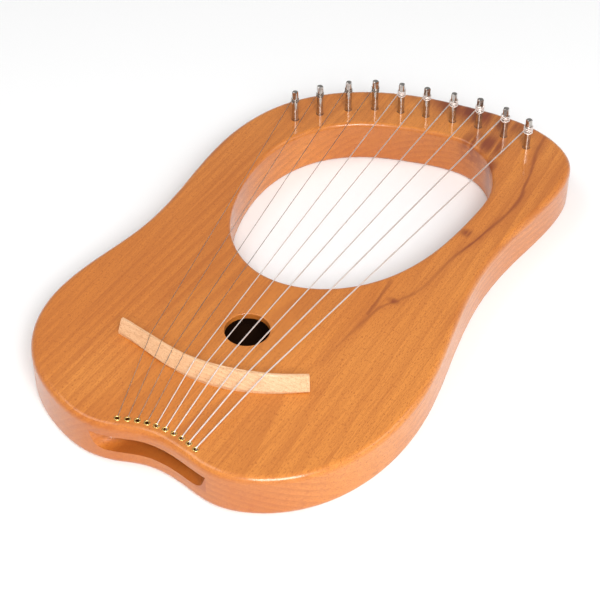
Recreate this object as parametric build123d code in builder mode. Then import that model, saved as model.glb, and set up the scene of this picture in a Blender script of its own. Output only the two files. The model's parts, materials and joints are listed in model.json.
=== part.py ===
"""Ten-string lyre harp lying on its back.

Millimetres.  The origin is the middle of the flat back, +Z runs up through the face, +Y runs
from the tail to the tuning pins, and +X is the side of the thick strings.
"""

import os
from math import atan2, cos, degrees, pi, radians, sin, sqrt

from build123d import *

# --- body -------------------------------------------------------------------------------
body_height = 34.0                  # back to face
edge_radius = 4.5                   # rounding all round the body
window_radius = 3.0                 # rounding of the string window's edges
face = body_height                  # height of the playing face

# Points of the body's outline, clockwise from the middle of the top
outline_points = [
    (0, 210), (48, 215), (91, 208), (118, 187), (125, 150), (118, 92), (115, 45),
    (122, -15), (132.5, -80), (129, -132), (106, -181), (76, -205), (49, -212),
    (22, -207.3), (-8, -206.7), (-24, -212), (-41, -215), (-76, -206.5), (-112, -180.5),
    (-131.2, -140), (-130.8, -95), (-120.3, -38), (-121, 22), (-123.5, 84), (-108, 142),
    (-62, 188.5),
]
# Points of the string window, in the same order
window_points = [
    (31, 168.4), (64, 155.5), (80.6, 127), (82, 90), (75.5, 43), (57, -2), (20, -34),
    (-16, -39.4), (-57.5, -15), (-80, 33), (-82.5, 88), (-63, 130), (-28, 154.5), (2, 164),
]

# --- sound box, routed from the back ----------------------------------------------------
soundboard_thickness = 4.5
chamber_length = 196.0              # along X
chamber_width = 106.0               # along Y
chamber_corner = 48.0
chamber_y = -115.0
cover_thickness = 4.0
cover_land = 6.0                    # ledge that the cover is glued to
cover_gap = 0.1                     # glue gap round the cover
sound_hole_radius = 15.5
sound_hole_place = (3.0, -93.0)
sound_hole_easing = 0.8             # rounding of its rim
brace_width = 8.0
brace_height = 9.0
brace_y = -146.0
brace_end_drop = 6.0                # its ends are cut away to a slope
brace_end_run = 12.0

# --- string anchor at the tail ----------------------------------------------------------
groove_centre = (2.0, -231.5)       # the groove is an arc about this point
groove_mouth = 20.0                 # the cut begins in the open, this far from the centre
groove_roof = 24.7                  # height of its ceiling
groove_floor = 11.3
groove_reach_top = 46.8             # its back wall leans, deepest at the ceiling
groove_reach_bottom = 43.0
groove_roof_corner = 1.5
groove_floor_corner = 9.0
ferrule_centre = (5.8, -269.3)      # the ferrules stand on an arc about this point
ferrule_arc = 72.6
ferrule_first = 115.9               # degrees, at string 1
ferrule_last = 69.3                 # degrees, at string 10
ferrule_bore = 1.25                 # radii of one ferrule
ferrule_sleeve = 1.55
ferrule_roll = 0.55                 # half-round rolled lip
ferrule_length = 6.0
ferrule_gap = 0.02                  # between a sleeve and its hole
ferrule_hole_overrun = 0.5          # the holes break through into the groove
ball_radius = 1.9
ball_length = 3.4
ball_easing = 0.5

# --- bridge -----------------------------------------------------------------------------
bridge_height = 11.0
bridge_land = 2.0                   # flat top that the strings cross
bridge_toe = 2.0                    # upright front edge below the slope
bearing_points = [(-68.7, -134.0), (-40, -139), (-10, -142.2), (25, -136.6), (65.3, -118.0)]
bridge_depths = [5.6, 7.6, 9.0, 8.8, 7.0]     # front to back, at even steps along it
bridge_rounding = 2.0               # rear top edge
notch_depth = 0.6
bearing_x = [-44, -34, -24, -15, -6, 2.5, 11.5, 21, 30.5, 41]

# --- tuning pins ------------------------------------------------------------------------
pin_radius = 2.5
pin_length = 45.0
pin_stand = 26.5                    # length above the face
pin_fit = 0.03                      # running clearance in the wood
pin_hole_depth = 20.0
pin_foot = 0.5                      # chamfered lower end
pin_crown = 0.9                     # height of the domed top
head_length = 8.5                   # tapered square for the key
head_half_width = 1.85              # at the crown
cross_hole_radius = 0.6
cross_hole_height = 20.0            # above the face
pin_places = [
    (-88, 128), (-75, 144), (-58.5, 160), (-41, 171.5), (-21.5, 178),
    (-2, 183), (19, 187), (39.5, 190.5), (61.5, 189.5), (82.5, 185),
]

# --- strings ----------------------------------------------------------------------------
string_diameters = [0.40, 0.40, 0.45, 0.45, 0.75, 0.75, 0.90, 0.90, 1.05, 1.05]
least_turns = 3.0                   # round a pin
turn_step = 0.37                    # each string ends this much of a turn further round
thin_string = 0.6                   # strings under this diameter take one turn more
turn_spacing = 0.12                 # pitch of the turns: this, and 1.25 diameters
turn_spread = 1.25
coil_clearance = 0.02               # between the turns and the pin
string_clearance = 0.03             # where a string rests on wood or brass
sweep_gap = 0.3                     # between a string's end and the turning coil
bearing_bend = 3.0                  # radius of a string over the bridge
lip_rise = 0.87                     # a string's corner above a ferrule, in bend radii

up = Vector(0, 0, 1)


def upright(origin, direction):
    """Vertical plane whose x runs along direction and whose y is straight up."""
    return Plane(origin=origin, x_dir=direction, z_dir=direction.cross(up))


def write(piece, name):
    """Label one finished piece and write it to its own file."""
    piece.part.label = name
    export_step(piece.part, f"parts/{name}.step")


# --- places worked out from the driving dimensions --------------------------------------
pin_bottom = face + pin_stand - pin_length
chamber_roof = face - soundboard_thickness
string_count = len(pin_places)

ferrule_places = []
for index in range(string_count):
    angle = radians(ferrule_first + (ferrule_last - ferrule_first) * index / (string_count - 1))
    x = ferrule_centre[0] + ferrule_arc * cos(angle)
    y = ferrule_centre[1] + ferrule_arc * sin(angle)
    ferrule_places.append(Vector(x, y, face))

top = face + pin_stand
crown_arc = (pin_radius**2 + pin_crown**2) / (2 * pin_crown)
head_taper = (pin_radius - head_half_width) / head_length   # per millimetre down the head

with BuildLine() as bearing_line:
    Spline(*bearing_points)
bearing_edge = bearing_line.edge()


def on_bearing_edge(x):
    """Point of the bridge's rear top edge that stands at this x."""
    low, high = 0.0, 1.0
    while high - low > 1e-6:
        middle = (low + high) / 2
        if (bearing_edge @ middle).X < x:
            low = middle
        else:
            high = middle
    point = bearing_edge @ low
    return Vector(point.X, point.Y, face + bridge_height)


class StringRun:
    """Route of one string from its ball end to the coil on its pin."""

    def __init__(self, index):
        self.diameter = string_diameters[index]
        self.radius = self.diameter / 2
        self.ferrule = ferrule_places[index]
        self.notch = on_bearing_edge(bearing_x[index])
        lift = string_clearance - notch_depth + self.radius
        self.bearing = self.notch + Vector(0, 0, lift)

        # down through the ferrule, against the side nearer the bridge
        towards_bridge = self.notch - self.ferrule
        towards_bridge = Vector(towards_bridge.X, towards_bridge.Y, 0).normalized()
        self.lip_bend = ferrule_roll + self.radius + string_clearance
        offset = ferrule_bore + ferrule_roll - self.lip_bend
        drop = self.ferrule + towards_bridge * offset
        self.lip = drop + Vector(0, 0, lip_rise * self.lip_bend)
        self.anchor = Vector(drop.X, drop.Y, groove_roof - string_clearance)

        # tangent to the coil, on the thin-string side of the pin
        self.pin = Vector(pin_places[index][0], pin_places[index][1], 0)
        self.coil_radius = pin_radius + coil_clearance + self.radius
        span = Vector(self.pin.X - self.bearing.X, self.pin.Y - self.bearing.Y, 0)
        reach = sqrt(span.length**2 - self.coil_radius**2)
        course = span.normalized().rotate(Axis.Z, degrees(atan2(self.coil_radius, reach)))
        self.turns = least_turns + (turn_step * (index + 1)) % 1.0
        if self.diameter < thin_string:
            self.turns += 1.0
        self.pitch = turn_spread * self.diameter + turn_spacing
        self.leaving_height = face + cross_hole_height - self.turns * self.pitch
        tangent = self.bearing + course * reach
        self.tangent = Vector(tangent.X, tangent.Y, self.leaving_height)
        swept = self.coil_radius + self.radius + sweep_gap
        stop = sqrt(swept**2 - pin_radius**2)
        self.end = self.tangent + (self.bearing - self.tangent).normalized() * stop

        start = self.tangent - self.pin
        self.coil_start_angle = degrees(atan2(start.Y, start.X))
        self.coil_end_angle = self.coil_start_angle - 360.0 * self.turns


runs = [StringRun(index) for index in range(string_count)]
os.makedirs("parts", exist_ok=True)

# --- body: one carved piece of wood -----------------------------------------------------
with BuildPart() as body:
    with BuildSketch():
        with BuildLine():
            Spline(*outline_points, periodic=True)
        make_face()
        with BuildLine():
            Spline(*window_points, periodic=True)
        make_face(mode=Mode.SUBTRACT)
    extrude(amount=body_height)
    outside = body.faces().filter_by(GeomType.PLANE, reverse=True).sort_by(SortBy.AREA)[-1]
    inside = body.faces().filter_by(GeomType.PLANE, reverse=True).sort_by(SortBy.AREA)[0]
    rims = body.edges().filter_by(lambda edge: edge.geom_type != GeomType.LINE)
    fillet(rims & outside.edges(), radius=edge_radius)
    fillet(body.edges() & inside.edges(), radius=window_radius)

    # sound chamber with its ledge for the cover, both open to the back
    with BuildSketch():
        with Locations((0, chamber_y)):
            RectangleRounded(chamber_length, chamber_width, chamber_corner)
    extrude(amount=chamber_roof, mode=Mode.SUBTRACT)
    with BuildSketch():
        with Locations((0, chamber_y)):
            RectangleRounded(
                chamber_length + 2 * cover_land,
                chamber_width + 2 * cover_land,
                chamber_corner + cover_land,
            )
    extrude(amount=cover_thickness, mode=Mode.SUBTRACT)

    # sound hole with an eased rim
    with BuildSketch(Plane.XY.offset(face)):
        with Locations(sound_hole_place):
            Circle(sound_hole_radius)
    extrude(amount=-soundboard_thickness, mode=Mode.SUBTRACT)
    hole_rims = body.edges().filter_by(GeomType.CIRCLE)
    hole_rims = hole_rims.filter_by(lambda edge: abs(edge.radius - sound_hole_radius) < 0.01)
    fillet(hole_rims.sort_by(Axis.Z)[-1], radius=sound_hole_easing)

    # string groove along the tail
    groove_plane = upright((groove_centre[0], groove_centre[1], 0), Vector(1, 0, 0))
    with BuildSketch(groove_plane):
        with BuildLine():
            Polyline(
                (groove_mouth, groove_floor),
                (groove_reach_bottom, groove_floor),
                (groove_reach_top, groove_roof),
                (groove_mouth, groove_roof),
                close=True,
            )
        make_face()
        back_wall = vertices().sort_by(Axis.X)[-2:].sort_by(Axis.Y)
        fillet(back_wall[0], radius=groove_floor_corner)
        fillet(back_wall[1], radius=groove_roof_corner)
    revolve(axis=Axis((groove_centre[0], groove_centre[1], 0), (0, 0, 1)), mode=Mode.SUBTRACT)

    # ferrule holes into the groove, and blind holes for the pins
    with Locations(*ferrule_places):
        Hole(ferrule_sleeve + ferrule_gap, depth=face - groove_roof + ferrule_hole_overrun)
    with Locations(*[(x, y, face) for x, y in pin_places]):
        Hole(pin_radius + pin_fit, depth=pin_hole_depth)
write(body, "body")

# --- cover let into the back, and the brace glued under the soundboard ------------------
with BuildPart() as back_cover:
    with BuildSketch():
        with Locations((0, chamber_y)):
            RectangleRounded(
                chamber_length + 2 * (cover_land - cover_gap),
                chamber_width + 2 * (cover_land - cover_gap),
                chamber_corner + cover_land - cover_gap,
            )
    extrude(amount=cover_thickness)
write(back_cover, "back_cover")

with BuildPart() as brace:
    brace_length = chamber_length - 2 * chamber_corner
    with BuildSketch(Plane((0, brace_y, chamber_roof), x_dir=(1, 0, 0), z_dir=(0, 0, -1))):
        Rectangle(brace_length, brace_width)
    extrude(amount=brace_height)
    ends = brace.edges().filter_by(Axis.Y).group_by(Axis.Z)[0]
    chamfer(ends, length=brace_end_drop, length2=brace_end_run)
write(brace, "soundboard_brace")

# --- bridge: a bowed strip, upright behind and sloped in front --------------------------
with BuildPart() as bridge:
    for step, depth in enumerate(bridge_depths):
        along = step / (len(bridge_depths) - 1)
        heading = bearing_edge % along
        foot = bearing_edge @ along + Vector(0, 0, face)
        with BuildSketch(upright(foot, heading.cross(up))):
            with BuildLine():
                Polyline(
                    (0, 0),
                    (depth, 0),
                    (depth, bridge_toe),
                    (bridge_land, bridge_height),
                    (0, bridge_height),
                    close=True,
                )
            make_face()
            fillet(vertices().group_by(Axis.Z)[-1].sort_by(Axis.Y)[0], radius=bridge_rounding)
    loft()

    # saw-cut notches, each sloping down along its string
    for run in runs:
        slope = (run.lip - run.bearing).normalized()
        across = slope.cross(up).normalized()
        lift = across.cross(slope)
        seat = run.bearing - lift * (run.radius + string_clearance)
        with BuildSketch(Plane(seat, x_dir=slope, z_dir=lift)):
            Rectangle(4 * bridge_height, run.diameter + 2 * string_clearance)
        extrude(amount=2 * notch_depth, mode=Mode.SUBTRACT)
write(bridge, "bridge")

# --- one pin, coil, string, ferrule and ball end for each note --------------------------
for number, run in enumerate(runs, 1):
    tag = f"{number:02d}"
    hole_angle = radians(run.coil_end_angle)
    hole_heading = Vector(cos(hole_angle), sin(hole_angle), 0)

    with BuildPart() as pin:
        axis = Axis((run.pin.X, run.pin.Y, 0), (0, 0, 1))
        with BuildSketch(upright(run.pin, hole_heading)):
            with BuildLine():
                Polyline(
                    (0, top),
                    (0, pin_bottom),
                    (pin_radius - pin_foot, pin_bottom),
                    (pin_radius, pin_bottom + pin_foot),
                    (pin_radius, top - pin_crown),
                )
                RadiusArc((pin_radius, top - pin_crown), (0, top), -crown_arc)
            make_face()
        revolve(axis=axis)
        for quarter in range(4):
            with BuildSketch(upright(run.pin, hole_heading.rotate(Axis.Z, 45 + 90 * quarter))):
                with BuildLine():
                    Polyline(
                        (head_half_width - head_taper, top + 1),
                        (pin_radius + 1, top + 1),
                        (pin_radius + 1, top - head_length - 1),
                        (pin_radius + head_taper, top - head_length - 1),
                        close=True,
                    )
                make_face()
            extrude(amount=pin_radius + 1, both=True, mode=Mode.SUBTRACT)
        hole_centre = Vector(run.pin.X, run.pin.Y, face + cross_hole_height)
        with BuildSketch(Plane(hole_centre, x_dir=(0, 0, 1), z_dir=hole_heading)):
            Circle(cross_hole_radius)
        extrude(amount=pin_radius + 1, both=True, mode=Mode.SUBTRACT)
    write(pin, f"tuning_pin_{tag}")

    with BuildPart() as coil:
        with BuildLine() as turns:
            Helix(
                pitch=run.pitch,
                height=run.pitch * run.turns,
                radius=run.coil_radius,
                lefthand=True,
            )
        with BuildSketch(Plane(turns.line @ 0, z_dir=turns.line % 0)):
            Circle(run.radius)
        sweep(path=turns.line, is_frenet=True)
    coil.part.locate(
        Location((run.pin.X, run.pin.Y, run.leaving_height), (0, 0, run.coil_start_angle))
    )
    write(coil, f"string_coil_{tag}")

    with BuildPart() as string:
        with BuildLine() as course:
            FilletPolyline(
                run.anchor, run.lip, run.bearing, run.end, radius=[run.lip_bend, bearing_bend]
            )
        route = course.wire()
        with BuildSketch(Plane(route @ 0, z_dir=route % 0)):
            Circle(run.radius)
        sweep(path=route)
    write(string, f"string_{tag}")
    filled = string.part.volume / (pi * run.radius**2 * route.length)
    print(f"string {tag}: {route.length:.1f} mm, volume ratio {filled:.4f}")

    with BuildPart() as ferrule:
        with BuildSketch(upright(run.ferrule, Vector(1, 0, 0))):
            with BuildLine():
                Line((ferrule_bore, 0), (ferrule_bore, -ferrule_length))
                Line((ferrule_bore, -ferrule_length), (ferrule_sleeve, -ferrule_length))
                Line((ferrule_sleeve, -ferrule_length), (ferrule_sleeve, 0))
                Line((ferrule_sleeve, 0), (ferrule_bore + 2 * ferrule_roll, 0))
                ThreePointArc(
                    (ferrule_bore + 2 * ferrule_roll, 0),
                    (ferrule_bore + ferrule_roll, ferrule_roll),
                    (ferrule_bore, 0),
                )
            make_face()
        revolve(axis=Axis((run.ferrule.X, run.ferrule.Y, 0), (0, 0, 1)))
    write(ferrule, f"ferrule_{tag}")

    with BuildPart() as ball:
        centre = run.anchor - Vector(0, 0, ball_radius + string_clearance)
        with BuildSketch(upright(centre, Vector(0, 1, 0))):
            Circle(ball_radius)
        extrude(amount=ball_length / 2, both=True)
        fillet(ball.edges().filter_by(GeomType.CIRCLE), radius=ball_easing)
    write(ball, f"ball_end_{tag}")
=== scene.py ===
"""Looks of the ten-string lyre harp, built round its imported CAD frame.  Metres, same frame."""

import json
from math import atan2, cos, radians, sin, sqrt, tau

import bpy
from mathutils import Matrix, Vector


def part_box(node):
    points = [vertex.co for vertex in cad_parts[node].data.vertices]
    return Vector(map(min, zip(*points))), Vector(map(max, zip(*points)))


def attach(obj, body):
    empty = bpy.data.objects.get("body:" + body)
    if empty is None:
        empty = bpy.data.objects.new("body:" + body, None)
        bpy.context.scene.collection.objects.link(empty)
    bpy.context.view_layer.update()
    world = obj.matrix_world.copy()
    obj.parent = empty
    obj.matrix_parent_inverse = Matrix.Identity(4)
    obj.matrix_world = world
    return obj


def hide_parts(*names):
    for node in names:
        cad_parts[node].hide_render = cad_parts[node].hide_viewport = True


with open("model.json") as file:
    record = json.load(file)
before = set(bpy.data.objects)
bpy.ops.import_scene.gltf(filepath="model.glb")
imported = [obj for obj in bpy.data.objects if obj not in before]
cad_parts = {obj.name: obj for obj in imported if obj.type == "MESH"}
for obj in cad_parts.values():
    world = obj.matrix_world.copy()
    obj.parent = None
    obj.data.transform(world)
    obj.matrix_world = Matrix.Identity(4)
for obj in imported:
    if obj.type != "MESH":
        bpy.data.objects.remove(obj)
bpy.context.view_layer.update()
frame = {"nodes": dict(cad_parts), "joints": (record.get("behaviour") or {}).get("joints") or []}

# --- driving values ---------------------------------------------------------------------
MM = 0.001
BODY = "lyre_body"
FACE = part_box("body")[1].z                  # height of the playing face
PIN_RADIUS = 2.5 * MM
CROSS_HOLE_HEIGHT = 20.0 * MM               # of the pins' cross holes, above the face
TAGS = [f"{number:02d}" for number in range(1, len(frame["joints"]) + 1)]
PLAIN_STRINGS = 4                           # the thin ones, with no winding

LEAST_TURNS = 3.0                           # the same rules for the strings as in the CAD
TURN_STEP = 0.37
TURN_SPREAD = 1.25
TURN_SPACING = 0.12 * MM
THIN_STRING = 0.6 * MM
COIL_CLEARANCE = 0.02 * MM
STRING_CLEARANCE = 0.03 * MM
FERRULE_ROLL = 0.55 * MM
LIP_RISE = 0.87
BEARING_BEND = 3.0 * MM                     # over the bridge
FLAT_END = 0.01 * MM                        # vertices this low are on the string's cut end
END_STRETCH = 20.0 * MM                     # between them only the bend over the bridge has vertices
CROSSING_START = 0.83                       # where the first turn climbs over the string
CROSSING_LIFT = 1.06                        # and how far, in wire diameters
COIL_STEPS = 40                             # points on one turn
TURN_IN = 0.95 * MM                         # the last turn leaves the coil this far from the hole
TURN_IN_STEPS = 8
WIRE_END = 0.8 * MM                         # cut end that stands out of the cross hole
WIRE_SIDES = 14
WIRE_EASING = 0.35                          # of the radius, at each cut end
BEND_STEPS = 10
OFF_AXIS = Vector((0.31, 0.17, 0.93))       # a direction that no string runs along

COVER_LOW, COVER_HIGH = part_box("back_cover")
COVER_LEDGE = 5.4 * MM                      # just under the cover's reach past the chamber
CHAMBER_HALF_LENGTH = COVER_HIGH.x - COVER_LEDGE
CHAMBER_HALF_WIDTH = (COVER_HIGH.y - COVER_LOW.y) / 2 - COVER_LEDGE
CHAMBER_Y = (COVER_LOW.y + COVER_HIGH.y) / 2
CHAMBER_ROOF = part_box("soundboard_brace")[1].z + 0.2 * MM
COVER_TOP = COVER_HIGH.z - 0.3 * MM

GROOVE_CENTRE = Vector((2.0, -231.5, 18.0)) * MM    # the groove is an arc about this point
GROOVE_REACH = 47.0 * MM
GROOVE_HALF_HEIGHT = 6.75 * MM
GROOVE_SHADE_FADE = (-36.0 * MM, -20.0 * MM)  # along X from the centre, where the painted shade fades in

CAMERA_AZIMUTH = radians(30.0)
CAMERA_ELEVATION = 0.744671
CAMERA_TARGET = Vector((1.33, -19.24, 1.2)) * MM
CAMERA_DISTANCE = 1163.85 * MM
CAMERA_LENS = 97.74                         # mm on a 36 mm sensor


# --- shader building --------------------------------------------------------------------
class Shader:
    """One material and short calls that add nodes to it.  Coordinates are the row frame's."""

    def __init__(self, name):
        self.material = bpy.data.materials.new(name)
        self.material.use_nodes = True
        self.tree = self.material.node_tree
        self.surface = self.tree.nodes["Principled BSDF"]
        self.place = self.add("TexCoord").outputs["Object"]

    def add(self, kind, inputs=None, **settings):
        """Add one node, and give each named or numbered input a value or a link."""
        node = self.tree.nodes.new("ShaderNode" + kind)
        for name, value in settings.items():
            setattr(node, name, value)
        for name, value in (inputs or {}).items():
            self.feed(node.inputs[name], value)
        return node

    def feed(self, socket, value):
        if isinstance(value, bpy.types.NodeSocket):
            self.tree.links.new(value, socket)
        else:
            socket.default_value = value

    def math(self, operation, *values):
        inputs = dict(enumerate(values))
        return self.add("Math", inputs, operation=operation).outputs[0]

    def vector(self, operation, *values):
        inputs = dict(enumerate(values))
        return self.add("VectorMath", inputs, operation=operation).outputs[0]

    def product(self, *factors):
        """Product of two or more values."""
        result = factors[0]
        for factor in factors[1:]:
            result = self.math("MULTIPLY", result, factor)
        return result

    def length(self, vector):
        return self.add("VectorMath", {0: vector}, operation="LENGTH").outputs["Value"]

    def split(self, vector):
        return self.add("SeparateXYZ", {0: vector}).outputs

    def noise(self, place, scale, detail=2.0, roughness=0.5):
        """Noise with its own scale along each axis, 0 to 1 round a middle of 0.5."""
        stretched = self.vector("MULTIPLY", place, scale)
        inputs = {"Vector": stretched, "Scale": 1.0, "Detail": detail, "Roughness": roughness}
        return self.add("TexNoise", inputs).outputs["Fac"]

    def noise_vector(self, place, scale):
        """Three noises at once, each round a middle of 0.5."""
        stretched = self.vector("MULTIPLY", place, scale)
        inputs = {"Vector": stretched, "Scale": 1.0, "Detail": 1.0}
        return self.add("TexNoise", inputs).outputs["Color"]

    def span(self, value, low, high, to_low=0.0, to_high=1.0):
        """Smooth step of a value between two limits."""
        inputs = {0: value, 1: low, 2: high, 3: to_low, 4: to_high}
        return self.add("MapRange", inputs, interpolation_type="SMOOTHSTEP").outputs[0]

    def curve(self, value, points):
        """Curve through given points of (0 to 1, 0 to 1)."""
        node = self.add("FloatCurve", {"Value": value})
        line = node.mapping.curves[0]
        line.points[0].location = points[0]
        line.points[1].location = points[-1]
        for point in points[1:-1]:
            line.points.new(*point)
        node.mapping.update()
        return node.outputs[0]

    def tint(self, factor, colour, other):
        """Mix from colour to other by factor."""
        node = self.add("Mix", data_type="RGBA")
        self.feed(node.inputs[0], factor)
        self.feed(node.inputs[6], colour if hasattr(colour, "name") else (*colour, 1.0))
        self.feed(node.inputs[7], other if hasattr(other, "name") else (*other, 1.0))
        return node.outputs[2]

    def bump(self, height, distance, strength):
        inputs = {"Height": height, "Distance": distance, "Strength": strength}
        return self.add("Bump", inputs).outputs["Normal"]

    def finish(self, **values):
        """Set the surface shader's sockets, each by its name with _ for a space."""
        for name, value in values.items():
            self.feed(self.surface.inputs[name.replace("_", " ")], value)
        return self.material


# --- wood -------------------------------------------------------------------------------
HONEY = {
    "light": (0.68, 0.245, 0.043),
    "middle": (0.590, 0.188, 0.028),
    "dark": (0.37, 0.090, 0.014),
    "deep": (0.200, 0.032, 0.009),
}
BEECH = {
    "light": (0.80, 0.510, 0.290),
    "middle": (0.76, 0.455, 0.245),
    "dark": (0.52, 0.245, 0.110),
    "deep": (0.45, 0.200, 0.080),
}

PITH_X, PITH_Z = 0.04, -0.10                # centre of the log, below the board
RING_DRIFT = 0.035                          # the rings widen by this along the grain
RING_STRENGTH = 0.44
FIBRE_BEND = (0.016, 0, 0.010)              # how far the grain wanders from straight
POLISH_RELIEF = 0.04 * MM

# Dark heart line down the right arm: (x, y) in millimetres from the tail end to the shoulder
HEART_LINE = [
    (58, -110), (66, -60), (68, -35), (78, -16), (86, 5), (90, 40), (96, 68),
    (101, 90), (104, 118), (100, 145), (94, 170), (88, 205),
]
# Strength of that line at the same places
HEART_DEPTH = [0.0, 0.35, 0.55, 0.5, 0.4, 0.5, 1.0, 0.75, 0.8, 0.8, 0.7, 0.5]
HEART_WIDTH = 2.2 * MM
HEART_GLOW_WIDTH = 9.0 * MM
# Second, fainter line that leaves the window's lower right
SIDE_LINE = [(66, -40), (65, -20), (63, 0)]
SIDE_DEPTH = [0.6, 0.7, 0.4]
SIDE_WIDTH = 1.9 * MM
LINE_RAGGEDNESS = 5.0 * MM                  # sideways jumps of both lines

# Reddish heartwood: centre, reach along X, Y and Z, and strength of each patch
HEARTWOOD = [
    ((0.030, 0.206, FACE), (0.066, 0.021, 0.05), 0.95),     # shoulder, behind the middle pins
    ((0.056, 0.174, FACE), (0.024, 0.020, 0.03), 0.90),     # round the last pins
    ((0.042, 0.160, FACE), (0.010, 0.032, 0.03), 0.55),
    ((0.064, 0.151, 0.028), (0.014, 0.011, 0.03), 0.85),    # down into the window
    ((0.089, 0.071, FACE), (0.011, 0.006, 0.02), 0.95),     # knots on the heart line
    ((0.074, -0.019, FACE), (0.006, 0.004, 0.02), 0.90),
]
PIN_SHADE_WIDTH = 0.9 * MM                          # width of the painted shade round the foot of each pin
PIN_SHADE_COLOUR = (0.05, 0.014, 0.006)
# painted shade for the wood inside the sound chamber
CHAMBER_SHADE_COLOUR = (0.012, 0.005, 0.003)


def growth_rings(shader, place, bent, ring):
    """Late wood of rings round the pith: it darkens slowly, then ends sharply."""
    x, y, z = shader.split(bent)
    across = shader.math("SUBTRACT", x, PITH_X)
    below = shader.math("SUBTRACT", z, PITH_Z)
    square = shader.math("ADD", shader.math("POWER", across, 2.0),
                         shader.math("POWER", below, 2.0))
    drift = shader.math("MULTIPLY", y, RING_DRIFT)
    radius = shader.math("ADD", shader.math("SQRT", square), drift)
    phase = shader.math("FRACT", shader.math("DIVIDE", radius, ring))
    late = shader.product(shader.span(phase, 0.15, 0.93), shader.span(phase, 0.93, 1.0, 1.0, 0.0))
    faint = shader.noise(place, (30, 5, 30), 1.0)
    return shader.product(late, shader.span(faint, 0.32, 0.68, 0.15, 0.85))


def line_mask(shader, x, y, line, depths, width):
    """1 on a line through given (x, y) places, falling to 0 at width to each side of it."""
    low_y, high_y = line[0][1] * MM, line[-1][1] * MM
    low_x = min(point[0] for point in line) * MM
    high_x = max(point[0] for point in line) * MM
    along = shader.math("DIVIDE", shader.math("SUBTRACT", y, low_y), high_y - low_y)
    shares = [(py * MM - low_y) / (high_y - low_y) for _, py in line]
    sides = [(px * MM - low_x) / (high_x - low_x) for px, _ in line]
    side = shader.curve(along, list(zip(shares, sides)))
    centre = shader.math("MULTIPLY_ADD", side, high_x - low_x, low_x)
    away = shader.math("ABSOLUTE", shader.math("SUBTRACT", x, centre))
    core = shader.span(away, 0.0, width, 1.0, 0.0)
    depth = shader.curve(along, list(zip(shares, depths)))
    within = shader.math("COMPARE", along, 0.5, 0.5)
    return shader.product(core, depth, within)


def heartwood(shader, bent, colour, tones):
    """Dark lines down the right arm, and reddish patches at the last pins."""
    x, y, _ = shader.split(bent)
    streaks = shader.noise(bent, (160, 18, 160), 2.0)
    ragged_x = shader.math("MULTIPLY_ADD", streaks, LINE_RAGGEDNESS,
                           shader.math("SUBTRACT", x, LINE_RAGGEDNESS / 2))
    heart = line_mask(shader, ragged_x, y, HEART_LINE, HEART_DEPTH, HEART_WIDTH)
    glow = line_mask(shader, ragged_x, y, HEART_LINE, HEART_DEPTH, HEART_GLOW_WIDTH)
    side = line_mask(shader, ragged_x, y, SIDE_LINE, SIDE_DEPTH, SIDE_WIDTH)
    colour = shader.tint(shader.product(glow, 0.45), colour, tones["dark"])
    lines = shader.math("MAXIMUM", heart, side)
    colour = shader.tint(shader.product(lines, 0.8), colour, tones["deep"])

    broken = shader.span(streaks, 0.36, 0.60, 0.12, 1.0)
    for centre, reach, strength in HEARTWOOD:
        away = shader.vector("DIVIDE", shader.vector("SUBTRACT", bent, centre), reach)
        patch = shader.span(shader.length(away), 0.15, 1.15, 1.0, 0.0)
        colour = shader.tint(shader.product(patch, broken, strength), colour, tones["deep"])
    return colour


def paint_pin_foot_shade(shader, colour):
    """Painted shade round the foot of each pin, where it stands in its hole."""
    for joint in frame["joints"]:
        distance = shader.length(shader.vector("SUBTRACT", shader.place, joint["pos_m"]))
        pin_shade = shader.span(distance, PIN_RADIUS, PIN_RADIUS + PIN_SHADE_WIDTH, 0.85, 0.0)
        colour = shader.tint(pin_shade, colour, PIN_SHADE_COLOUR)
    return colour


def paint_groove_shade(shader, colour, tones):
    """Painted shade inside the anchor groove, darkening its wood, lightest at its lit left end."""
    x, y, z = shader.split(shader.vector("SUBTRACT", shader.place, GROOVE_CENTRE))
    radius = shader.math("SQRT", shader.math("ADD", shader.math("POWER", x, 2.0),
                                             shader.math("POWER", y, 2.0)))
    inside = shader.product(
        shader.math("LESS_THAN", radius, GROOVE_REACH),
        shader.math("LESS_THAN", shader.math("ABSOLUTE", z), GROOVE_HALF_HEIGHT),
        shader.span(x, *GROOVE_SHADE_FADE, 0.0, 0.75),
    )
    return shader.tint(inside, colour, tones["dark"])


def paint_chamber_shade(shader, colour):
    """Painted shade: the wood inside the sound chamber is painted nearly black."""
    x, y, z = shader.split(shader.place)
    from_middle = shader.math("ABSOLUTE", shader.math("SUBTRACT", y, CHAMBER_Y))
    inside = shader.product(
        shader.math("LESS_THAN", shader.math("ABSOLUTE", x), CHAMBER_HALF_LENGTH),
        shader.math("LESS_THAN", from_middle, CHAMBER_HALF_WIDTH),
        shader.math("GREATER_THAN", z, COVER_TOP),
        shader.math("LESS_THAN", z, CHAMBER_ROOF),
        0.985,
    )
    return shader.tint(inside, colour, CHAMBER_SHADE_COLOUR)


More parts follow.
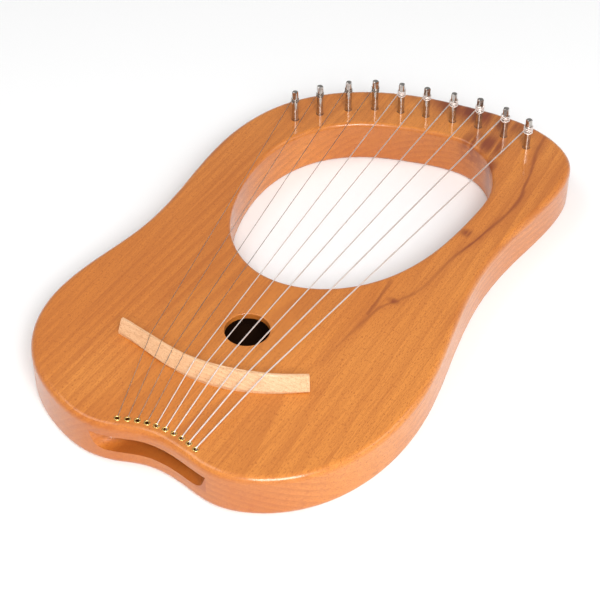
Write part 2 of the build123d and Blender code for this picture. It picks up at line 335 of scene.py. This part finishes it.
def wood(name, tones, offset=(0, 0, 0), ring=5.2 * MM, flecks=0.8, fleck_size=(0.42 * MM, 2.3 * MM),
         gloss=0.5, end_grain=0.42, along_x=False, marked=False, chamber=False):
    """Wood cut along Y, or X: growth rings, fibres, flecks and slow changes of tone."""
    shader = Shader(name)
    place = shader.vector("ADD", shader.place, offset)
    if along_x:
        x, y, z = shader.split(place)
        place = shader.add("CombineXYZ", {0: y, 1: x, 2: z}).outputs[0]
    wander = shader.vector("SUBTRACT", shader.noise_vector(place, (9, 2.5, 9)), (0.5, 0.5, 0.5))
    bent = shader.vector("ADD", place, shader.vector("MULTIPLY", wander, FIBRE_BEND))

    # slow changes of tone, rings, soft and fine fibres, and the short dark flecks of the rays
    tone = shader.noise(place, (11, 4.5, 11), 2.0)
    late = growth_rings(shader, place, bent, ring)
    soft = shader.noise(bent, (330, 7, 330), 3.0, 0.6)
    fine = shader.noise(bent, (1500, 40, 1500), 2.0, 0.6)
    fleck_width, fleck_length = fleck_size
    fleck_scale = (1 / fleck_width, 1 / fleck_length, 1 / fleck_width)
    fleck = shader.span(shader.noise(place, fleck_scale, 1.0), 0.575, 0.68)

    colour = shader.tint(shader.span(tone, 0.34, 0.66), tones["middle"], tones["light"])
    colour = shader.tint(shader.product(late, RING_STRENGTH), colour, tones["dark"])
    colour = shader.tint(shader.span(soft, 0.46, 0.74, 0.0, 0.34), colour, tones["dark"])
    colour = shader.tint(shader.span(fine, 0.40, 0.66, 0.0, 0.30), colour, tones["dark"])
    colour = shader.tint(shader.product(fleck, flecks), colour, tones["dark"])

    # cut ends of the fibres drink more stain
    facing = shader.split(shader.add("TexCoord").outputs["Normal"])[1]
    ends = shader.span(shader.math("ABSOLUTE", facing), 0.40, 0.98, 0.0, end_grain)
    colour = shader.tint(ends, colour, tones["dark"])

    if marked:
        colour = heartwood(shader, bent, colour, tones)
        # painted shade round the foot of each pin
        colour = paint_pin_foot_shade(shader, colour)
        # painted shade inside the anchor groove
        colour = paint_groove_shade(shader, colour, tones)
    if chamber:
        # painted shade inside the sound chamber
        colour = paint_chamber_shade(shader, colour)

    relief = shader.math("MULTIPLY_ADD", fleck, -0.6, shader.product(fine, 0.7))
    return shader.finish(
        Base_Color=colour,
        Roughness=shader.span(fine, 0.3, 0.7, 0.40 - 0.16 * gloss, 0.46 - 0.10 * gloss),
        Specular_IOR_Level=0.35,
        Normal=shader.bump(relief, POLISH_RELIEF, 0.5),
        Coat_Weight=1.1 * gloss,
        Coat_Roughness=0.14,
        Coat_IOR=1.55,
    )


# --- metal ------------------------------------------------------------------------------
WEAR = 0.10                                 # roughness that rubbed places add
RUBBED_RELIEF = 0.012 * MM
WINDING_PITCH = 0.34 * MM
WINDING_RELIEF = 0.05 * MM
# painted shade in the hollows between the winding's turns
WINDING_HOLLOW_SHADE_COLOUR = (0.30, 0.25, 0.21)


def metal(name, colour, dull, roughness):
    """Plated or drawn metal: slightly cloudy, with fine rubbed marks."""
    shader = Shader(name)
    cloud = shader.noise(shader.place, (420, 420, 420), 3.0)
    marks = shader.noise(shader.place, (3000, 3000, 260), 2.0)
    tone = shader.tint(shader.span(cloud, 0.35, 0.75), colour, dull)
    worn = shader.span(cloud, 0.25, 0.75, roughness, roughness + WEAR)
    normal = shader.bump(marks, RUBBED_RELIEF, 0.35)
    return shader.finish(Base_Color=tone, Metallic=1.0, Roughness=worn, Normal=normal)


def winding(name, colour, dull):
    """Round wire wound closely on a core: ridges across the string, from its own UVs, with painted
    shade in the hollows between them.
    """
    shader = Shader(name)
    along = shader.split(shader.add("TexCoord").outputs["UV"])[1]
    turn = shader.product(along, tau / WINDING_PITCH)
    ridge = shader.math("ABSOLUTE", shader.math("SINE", shader.product(turn, 0.5)))
    hollow_shade = shader.span(ridge, 0.0, 0.55, 1.0, 0.0)
    cloud = shader.noise(shader.place, (120, 120, 120), 2.0)
    tone = shader.tint(shader.span(cloud, 0.3, 0.7), colour, dull)
    # painted shade in the hollows between the turns
    tone = shader.tint(shader.product(hollow_shade, 0.45), tone, WINDING_HOLLOW_SHADE_COLOUR)
    normal = shader.bump(ridge, WINDING_RELIEF, 0.45)
    return shader.finish(Base_Color=tone, Metallic=0.65, Roughness=0.34, Normal=normal)


MATERIALS = {
    "body": wood("lacquered_honey_wood", HONEY, marked=True, chamber=True),
    "cover": wood("lacquered_cover_wood", HONEY, offset=(0.31, 0.17, 0.05), chamber=True),
    "bridge": wood("bare_beech", BEECH, offset=(0.12, 0.40, 0.0), ring=2.8 * MM, flecks=0.95,
                   fleck_size=(0.42 * MM, 1.3 * MM), gloss=0.12, end_grain=0.0, along_x=True),
    "nickel": metal("polished_nickel", (0.56, 0.53, 0.50), (0.38, 0.355, 0.33), 0.09),
    "brass": metal("rolled_brass", (0.95, 0.66, 0.24), (0.78, 0.46, 0.14), 0.22),
    "plain_wire": metal("drawn_steel_wire", (0.50, 0.44, 0.39), (0.36, 0.31, 0.27), 0.25),
    "wound_wire": winding("round_wound_wire", (0.98, 0.90, 0.86), (0.92, 0.80, 0.74)),
}


def paint(node, material):
    """Give one CAD node its finished material, in place of its plain one."""
    slots = frame["nodes"][node].data.materials
    slots.clear()
    slots.append(MATERIALS[material])


paint("body", "body")
paint("back_cover", "cover")
paint("soundboard_brace", "bridge")
paint("bridge", "bridge")
for tag in TAGS:
    paint(f"tuning_pin_{tag}", "nickel")
    paint(f"ferrule_{tag}", "brass")
    paint(f"ball_end_{tag}", "brass")


# --- strings ----------------------------------------------------------------------------
def tube(name, course, radius):
    """Round wire along a course of points, with eased ends.  Its UV map's V is in metres."""
    points = [Vector(point) for point in course]
    tangents = []
    for index, point in enumerate(points):
        before = points[max(index - 1, 0)]
        after = points[min(index + 1, len(points) - 1)]
        tangents.append((after - before).normalized())
    side = tangents[0].cross(OFF_AXIS).normalized()

    rings, lengths, travelled = [], [], 0.0
    for index, (point, tangent) in enumerate(zip(points, tangents)):
        side = (side - tangent * side.dot(tangent)).normalized()
        other = tangent.cross(side)
        if index:
            travelled += (point - points[index - 1]).length
        easing = tangent * radius * WIRE_EASING
        circles = [(point, radius)]
        if index == 0:
            circles.insert(0, (point - easing, radius * (1 - WIRE_EASING)))
        if index == len(points) - 1:
            circles.append((point + easing, radius * (1 - WIRE_EASING)))
        for centre, size in circles:
            turn = [tau * step / WIRE_SIDES for step in range(WIRE_SIDES)]
            rings.append([centre + (side * cos(a) + other * sin(a)) * size for a in turn])
            lengths.append(travelled)

    vertices = [tuple(vertex) for ring in rings for vertex in ring]
    faces, corners = [], []
    for row in range(len(rings) - 1):
        low, high = row * WIRE_SIDES, (row + 1) * WIRE_SIDES
        for step in range(WIRE_SIDES):
            following = (step + 1) % WIRE_SIDES
            faces.append((low + step, low + following, high + following, high + step))
            u, next_u = step / WIRE_SIDES, (step + 1) / WIRE_SIDES
            corners += [(u, lengths[row]), (next_u, lengths[row]),
                        (next_u, lengths[row + 1]), (u, lengths[row + 1])]
    last = (len(rings) - 1) * WIRE_SIDES
    faces.append(tuple(reversed(range(WIRE_SIDES))))
    faces.append(tuple(range(last, last + WIRE_SIDES)))
    corners += [(0.5, 0.0)] * WIRE_SIDES + [(0.5, travelled)] * WIRE_SIDES

    mesh = bpy.data.meshes.new(name)
    mesh.from_pydata(vertices, [], faces)
    layer = mesh.uv_layers.new(name="UVMap")
    for loop, corner in zip(layer.data, corners):
        loop.uv = corner
    mesh.polygons.foreach_set("use_smooth", [True] * len(mesh.polygons))
    piece = bpy.data.objects.new(name, mesh)
    bpy.context.scene.collection.objects.link(piece)
    return piece


def rounded(corner, before, after, bend):
    """Arc of radius bend that joins two straight runs meeting at a corner."""
    backwards, forwards = (before - corner).normalized(), (after - corner).normalized()
    half = backwards.angle(forwards) / 2
    middle = (backwards + forwards).normalized()
    centre = corner + middle * (bend / sin(half))
    start = corner + backwards * (bend / (sin(half) / cos(half))) - centre
    end = corner + forwards * (bend / (sin(half) / cos(half))) - centre
    whole = start.angle(end)
    points = []
    for step in range(BEND_STEPS + 1):
        share = step / BEND_STEPS
        near, far = sin((1 - share) * whole) / sin(whole), sin(share * whole) / sin(whole)
        points.append(centre + start * near + end * far)
    return points


class StringRoute:
    """Places of one string, read from its CAD nodes and its pin's joint."""

    def __init__(self, index):
        node = f"string_{TAGS[index]}"
        vertices = [vertex.co for vertex in frame["nodes"][node].data.vertices]
        low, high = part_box(node)
        foot = [place for place in vertices if place.z < low.z + FLAT_END]
        self.anchor = middle_of(foot)
        self.radius = max((place - self.anchor).length for place in foot)
        bend = FERRULE_ROLL + self.radius + STRING_CLEARANCE
        self.lip_bend = bend
        self.lip = Vector((self.anchor.x, self.anchor.y, FACE + LIP_RISE * bend))
        self.bearing = middle_of([place for place in vertices
                                  if low.y + END_STRETCH < place.y < high.y - END_STRETCH])

        # tangent to the coil, on the thin-string side of the pin
        self.pin = Vector(frame["joints"][index]["pos_m"])
        self.coil_radius = PIN_RADIUS + COIL_CLEARANCE + self.radius
        self.turns = LEAST_TURNS + (TURN_STEP * (index + 1)) % 1.0
        if 2 * self.radius < THIN_STRING:
            self.turns += 1.0
        self.top = FACE + CROSS_HOLE_HEIGHT
        rise = self.turns * (TURN_SPREAD * 2 * self.radius + TURN_SPACING)
        span = (self.pin - self.bearing).to_2d()
        free = sqrt(span.length_squared - self.coil_radius**2)
        heading = atan2(span.y, span.x) + atan2(self.coil_radius, free)
        self.tangent = self.bearing + Vector((cos(heading), sin(heading), 0)) * free
        self.tangent.z = self.top - rise
        self.start_angle = atan2(self.tangent.y - self.pin.y, self.tangent.x - self.pin.x)

    def on_coil(self, turned):
        """Place on the coil after this many turns, clockwise from the tangent."""
        step = CROSSING_LIFT * 2 * self.radius
        climb = (self.top - self.tangent.z - step) / (self.turns - 1)
        if turned < CROSSING_START:
            lift = 0.0
        elif turned < 1:
            share = (turned - CROSSING_START) / (1 - CROSSING_START)
            lift = step * share * share * (3 - 2 * share)
        else:
            lift = step + climb * (turned - 1)
        angle = self.start_angle - tau * turned
        out = Vector((cos(angle), sin(angle), 0)) * self.coil_radius
        return Vector((self.pin.x, self.pin.y, self.tangent.z + lift)) + out


def middle_of(places):
    return sum(places, Vector()) / len(places)


def string_wire(route, tag, material):
    """The string from its ball end, through the ferrule and over the bridge, to its pin."""
    course = [route.anchor]
    course += rounded(route.lip, route.anchor, route.bearing, route.lip_bend)
    course += rounded(route.bearing, route.lip, route.tangent, BEARING_BEND)
    course.append(route.tangent)
    piece = tube(f"string_wire_{tag}", course, route.radius)
    piece.data.materials.append(MATERIALS[material])
    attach(piece, BODY)
    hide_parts(f"string_{tag}")


def string_turns(route, tag, material):
    """The turns on the pin, the last one bent into the cross hole and out behind."""
    last = route.turns - TURN_IN / route.coil_radius / tau
    steps = int(last * COIL_STEPS)
    course = [route.on_coil(last * step / steps) for step in range(steps + 1)]

    end_angle = route.start_angle - tau * route.turns
    outward = Vector((cos(end_angle), sin(end_angle), 0))
    axis = Vector((route.pin.x, route.pin.y, route.top))
    leave = course[-1]
    corner = axis + outward * (route.coil_radius / cos(TURN_IN / route.coil_radius))
    enter = axis + outward * (route.coil_radius - TURN_IN)
    for step in range(1, TURN_IN_STEPS + 1):
        share = step / TURN_IN_STEPS
        course.append(leave.lerp(corner, share).lerp(corner.lerp(enter, share), share))
    course.append(axis)
    course.append(axis - outward * (PIN_RADIUS + WIRE_END))
    piece = tube(f"string_turns_{tag}", course, route.radius)
    piece.data.materials.append(MATERIALS[material])
    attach(piece, f"pin_{tag}")
    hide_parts(f"string_coil_{tag}")


for index, tag in enumerate(TAGS):
    route = StringRoute(index)
    material = "plain_wire" if index < PLAIN_STRINGS else "wound_wire"
    string_wire(route, tag, material)
    string_turns(route, tag, material)


# --- stage, light and camera ------------------------------------------------------------
FLOOR_WIDTH = 12.0
ROOM_SLOPE = (0.25, -0.25, -1.0)            # the room grows brighter in this direction
ROOM_SPAN = (-0.8, 0.15)
ROOM_LEVELS = (0.37, 0.59)


def stage_floor():
    """Wide pale floor under the lyre."""
    mesh = bpy.data.meshes.new("floor")
    far = FLOOR_WIDTH / 2
    corners = [(-far, -far, 0), (far, -far, 0), (far, far, 0), (-far, far, 0)]
    mesh.from_pydata(corners, [], [(0, 1, 2, 3)])
    floor = bpy.data.objects.new("floor", mesh)
    bpy.context.scene.collection.objects.link(floor)
    shader = Shader("pale_floor")
    cloud = shader.noise(shader.place, (3, 3, 3), 2.0)
    tone = shader.tint(cloud, (0.90, 0.90, 0.90), (0.92, 0.92, 0.92))
    mesh.materials.append(shader.finish(Base_Color=tone, Roughness=0.9, Specular_IOR_Level=0.1))


def softbox(name, azimuth, elevation, distance, size, power):
    """Area light that faces the lyre.  Azimuth 0 stands at -Y and 90 at +X."""
    lamp = bpy.data.lights.new(name, "AREA")
    lamp.shape = "RECTANGLE"
    lamp.size, lamp.size_y = size
    lamp.energy = power
    holder = bpy.data.objects.new(name, lamp)
    a, e = radians(azimuth), radians(elevation)
    towards = Vector((sin(a) * cos(e), -cos(a) * cos(e), sin(e)))
    holder.location = towards * distance
    holder.rotation_mode = "QUATERNION"
    holder.rotation_quaternion = towards.to_track_quat("Z", "Y")
    bpy.context.scene.collection.objects.link(holder)


def studio():
    """White room, a little darker overhead, with the key soft box in front to the right."""
    world = bpy.data.worlds.new("studio")
    bpy.context.scene.world = world
    world.use_nodes = True
    tree = world.node_tree
    direction = tree.nodes.new("ShaderNodeTexCoord").outputs["Generated"]
    slope = tree.nodes.new("ShaderNodeVectorMath")
    slope.operation = "DOT_PRODUCT"
    tree.links.new(direction, slope.inputs[0])
    slope.inputs[1].default_value = ROOM_SLOPE
    level = tree.nodes.new("ShaderNodeMapRange")
    level.interpolation_type = "SMOOTHSTEP"
    tree.links.new(slope.outputs["Value"], level.inputs[0])
    level.inputs[1].default_value, level.inputs[2].default_value = ROOM_SPAN
    level.inputs[3].default_value, level.inputs[4].default_value = ROOM_LEVELS
    background = tree.nodes["Background"]
    background.inputs["Color"].default_value = (1.0, 1.0, 1.0, 1.0)
    tree.links.new(level.outputs[0], background.inputs["Strength"])
    softbox("key", 38, 42, 2.4, (1.2, 1.0), 58)
    softbox("fill", 112, 34, 2.8, (1.6, 0.9), 10)
    softbox("back", 285, 62, 2.6, (1.2, 1.0), 10)
    bpy.context.scene.view_settings.view_transform = "Standard"


def camera():
    """Long lens, seen from above the tail and to the right."""
    a, e = CAMERA_AZIMUTH, CAMERA_ELEVATION
    back = Vector((sin(a) * cos(e), -cos(a) * cos(e), sin(e)))
    lens = bpy.data.cameras.new("camera")
    lens.lens = CAMERA_LENS
    lens.sensor_width = 36.0
    lens.clip_start, lens.clip_end = 0.05, 40.0
    holder = bpy.data.objects.new("camera", lens)
    holder.location = CAMERA_TARGET + back * CAMERA_DISTANCE
    holder.rotation_mode = "QUATERNION"
    holder.rotation_quaternion = back.to_track_quat("Z", "Y")
    bpy.context.scene.collection.objects.link(holder)
    bpy.context.scene.camera = holder


stage_floor()
studio()
camera()
